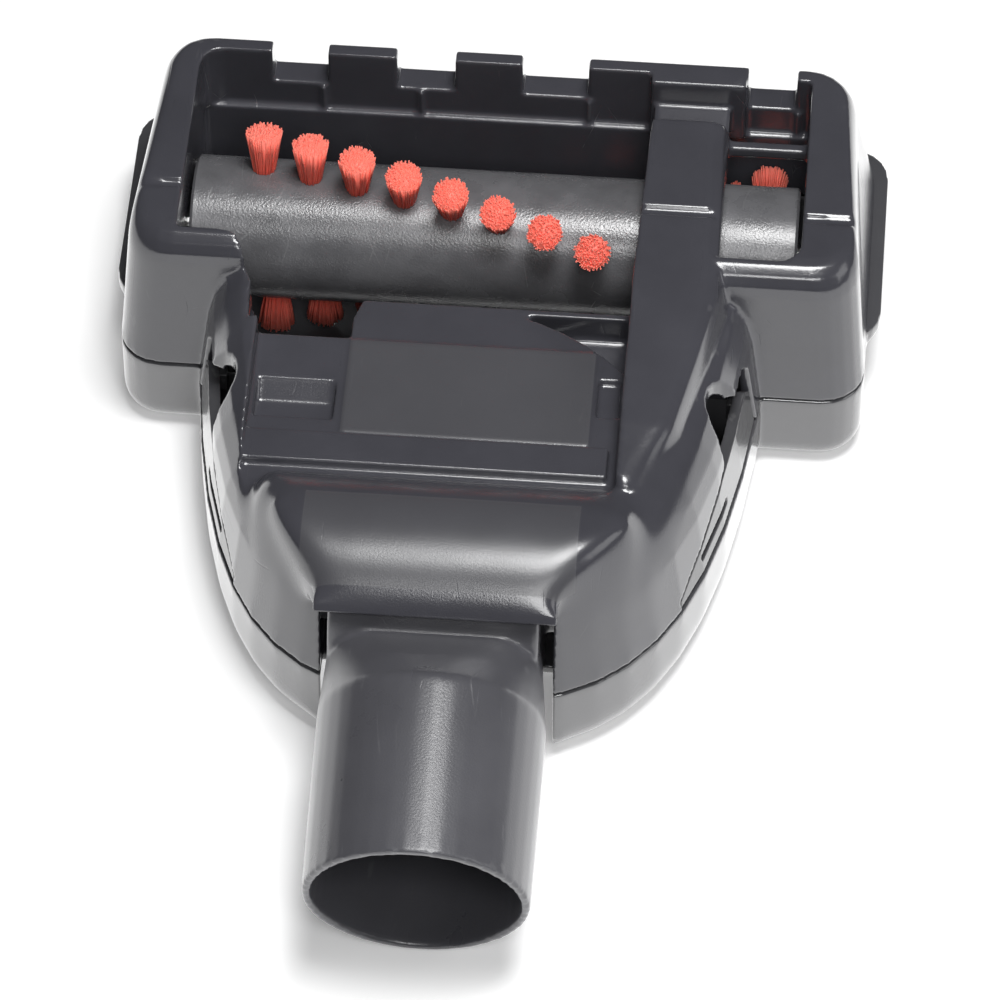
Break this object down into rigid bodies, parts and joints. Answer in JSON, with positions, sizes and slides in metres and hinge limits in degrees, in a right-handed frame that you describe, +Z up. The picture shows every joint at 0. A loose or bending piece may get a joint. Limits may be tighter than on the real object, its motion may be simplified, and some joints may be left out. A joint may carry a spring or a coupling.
{
  "type": "vacuum turbo brush",
  "caption": "Hand-held vacuum turbo brush: a belt-driven roller with bristle tufts behind a comb, an air turbine and a swivelling neck for the wand.",
  "frame": {"origin": "on the flat back, straight under the axis of the brush, at the middle of the head", "axes": "+X along the brush to the belt side, +Y to the comb at the front, +Z up out of the sole; the brush faces up as in the picture"},
  "size_m": [0.1388, 0.1846, 0.047],
  "materials": {
    "shell_plastic": "glossy moulded, light scuffs on the sole",
    "neck_plastic": "satin moulded",
    "roller_plastic": "satin, scuffed by dust",
    "latch_plastic": "satin moulded",
    "bristle": "bundled fine filaments",
    "steel": "ground",
    "bronze": "sintered",
    "black_plastic": "moulded",
    "belt_rubber": "matt",
    "turbine_plastic": "moulded"
  },
  "bodies": {
    "shells": {"lower_shell": "shell_plastic", "upper_shell": "shell_plastic", "left_axle_bush": "bronze", "right_axle_bush": "bronze", "left_end_block": "black_plastic", "right_end_block": "black_plastic", "drive_belt": "belt_rubber", "left_turbine_bearing": "bronze", "right_turbine_bearing": "bronze", "left_bearing_clamp": "black_plastic", "right_bearing_clamp": "black_plastic", "clamp_screw_1": "steel", "clamp_screw_2": "steel", "clamp_screw_3": "steel", "clamp_screw_4": "steel", "left_latch_pin": "steel", "right_latch_pin": "steel"},
    "brush": {"brush_core": "roller_plastic", "left_axle_pin": "steel", "right_axle_pin": "steel", "bristle_tuft_01": "bristle", "bristle_tuft_02": "bristle", "bristle_tuft_03": "bristle", "bristle_tuft_04": "bristle", "bristle_tuft_05": "bristle", "bristle_tuft_06": "bristle", "bristle_tuft_07": "bristle", "bristle_tuft_08": "bristle", "bristle_tuft_09": "bristle", "bristle_tuft_10": "bristle", "bristle_tuft_11": "bristle", "bristle_tuft_12": "bristle", "bristle_tuft_13": "bristle", "bristle_tuft_14": "bristle", "bristle_tuft_15": "bristle", "bristle_tuft_16": "bristle", "bristle_tuft_17": "bristle", "bristle_tuft_18": "bristle", "bristle_tuft_19": "bristle", "bristle_tuft_20": "bristle"},
    "turbine": {"turbine_wheel": "turbine_plastic", "turbine_shaft": "steel", "turbine_pulley": "turbine_plastic"},
    "neck": {"neck": "neck_plastic"},
    "left_latch": {"left_latch": "latch_plastic"},
    "right_latch": {"right_latch": "latch_plastic"}
  },
  "joints": [
    {"name": "brush_spin", "type": "hinge", "parent": "shells", "child": "brush", "pos_m": [0, 0, 0.026], "axis": [1, 0, 0], "continuous": true},
    {"name": "turbine_spin", "type": "hinge", "parent": "shells", "child": "turbine", "pos_m": [0, -0.05, 0.0185], "axis": [1, 0, 0], "continuous": true},
    {"name": "neck_swivel", "type": "hinge", "parent": "shells", "child": "neck", "pos_m": [0, -0.082, 0.026], "axis": [1, 0, 0], "range_deg": [-6, 40]},
    {"name": "left_latch_squeeze", "type": "hinge", "parent": "shells", "child": "left_latch", "pos_m": [-0.0391, -0.0685, 0.02], "axis": [0, 0, -1], "range_deg": [0, 6], "stiffness_Nm_per_rad": 1.7, "springref_deg": -1.72},
    {"name": "right_latch_squeeze", "type": "hinge", "parent": "shells", "child": "right_latch", "pos_m": [0.0359, -0.0685, 0.02], "axis": [0, 0, 1], "range_deg": [0, 6], "stiffness_Nm_per_rad": 1.7, "springref_deg": -1.72}
  ],
  "couplings": [
    {"joint": "turbine_spin", "follows": "brush_spin", "ratio": 2}
  ]
}
